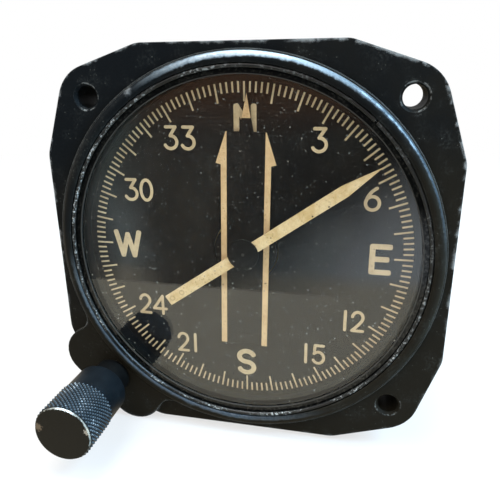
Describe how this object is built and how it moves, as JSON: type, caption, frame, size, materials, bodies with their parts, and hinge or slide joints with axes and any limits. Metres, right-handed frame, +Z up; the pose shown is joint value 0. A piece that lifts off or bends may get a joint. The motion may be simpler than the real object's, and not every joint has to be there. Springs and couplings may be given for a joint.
{
  "type": "aircraft compass indicator",
  "caption": "Round panel-mounted aircraft compass indicator with a heading needle, parallel course lines turned by a knurled corner knob, and a connector at the back.",
  "frame": {"origin": "on the dial axis, in the plane of the flange's front face, which lies against the back of the panel", "axes": "-Y along the dial axis towards the viewer, +X to the viewer's right, +Z up towards north on the dial"},
  "size_m": [0.0835, 0.0929, 0.0835],
  "materials": {
    "case_paint": "matt black paint, worn at the edges",
    "window_glass": "clear and polished",
    "gasket_rubber": "matt black",
    "ring_black": "black",
    "dial_black": "matt black",
    "marking_paint": "aged cream marking paint",
    "knob_black": "black, worn bright on the front edge",
    "steel": "plain",
    "gear_brass": "machined",
    "contact_brass": "bright",
    "magnet_iron": "ground",
    "coil_copper": "varnished copper wire",
    "plain_aluminium": "plain",
    "bearing_stone": "polished jewel",
    "brown_phenolic": "moulded brown plastic",
    "wire_cover": "woven wire covering"
  },
  "bodies": {
    "case": {"case_body": "case_paint", "cover_glass": "window_glass", "glass_gasket": "gasket_rubber", "snap_ring": "ring_black", "spacer_ring": "ring_black", "dial_plate": "dial_black", "idler_stud": "steel", "knob_bushing": "ring_black", "gear_cover": "case_paint", "gear_cover_screws": "steel", "mechanism_plate": "plain_aluminium", "plate_screws": "steel", "course_bushing": "gear_brass", "movement_housing": "plain_aluminium", "housing_screws": "steel", "ring_core": "magnet_iron", "core_coils": "coil_copper", "front_bearing": "bearing_stone", "rear_bearing": "bearing_stone", "bearing_plate": "brown_phenolic", "bearing_plate_screws": "steel", "terminal_posts": "contact_brass", "lead_wires": "wire_cover", "rear_gasket": "gasket_rubber", "rear_cover": "case_paint", "rear_cover_screws": "steel", "connector_shell": "plain_aluminium", "connector_screws": "steel", "connector_insert": "brown_phenolic", "connector_contacts": "contact_brass"},
    "heading_needle": {"needle": "marking_paint", "needle_hub": "dial_black", "rotor_shaft": "steel", "rotor_magnet": "magnet_iron"},
    "course_lines": {"course_pointer": "dial_black", "course_sleeve": "dial_black", "course_gear": "gear_brass", "sleeve_clip": "steel"},
    "knob": {"setting_knob": "knob_black", "knob_set_screw": "steel", "knob_shaft": "steel", "setting_pinion": "gear_brass", "friction_washer": "steel"},
    "idler": {"idler_gear": "gear_brass"}
  },
  "joints": [
    {"name": "needle_turn", "type": "hinge", "parent": "case", "child": "heading_needle", "pos_m": [0, 0, 0], "axis": [0, 1, 0], "continuous": true},
    {"name": "course_turn", "type": "hinge", "parent": "case", "child": "course_lines", "pos_m": [0, 0, 0], "axis": [0, 1, 0], "continuous": true},
    {"name": "knob_turn", "type": "hinge", "parent": "case", "child": "knob", "pos_m": [-0.03143, 0, -0.03143], "axis": [0, 1, 0], "continuous": true},
    {"name": "idler_turn", "type": "hinge", "parent": "case", "child": "idler", "pos_m": [-0.0244, 0, -0.0244], "axis": [0, 1, 0], "continuous": true}
  ],
  "couplings": [
    {"joint": "knob_turn", "follows": "course_turn", "ratio": 8},
    {"joint": "idler_turn", "follows": "course_turn", "ratio": -4.3636}
  ]
}
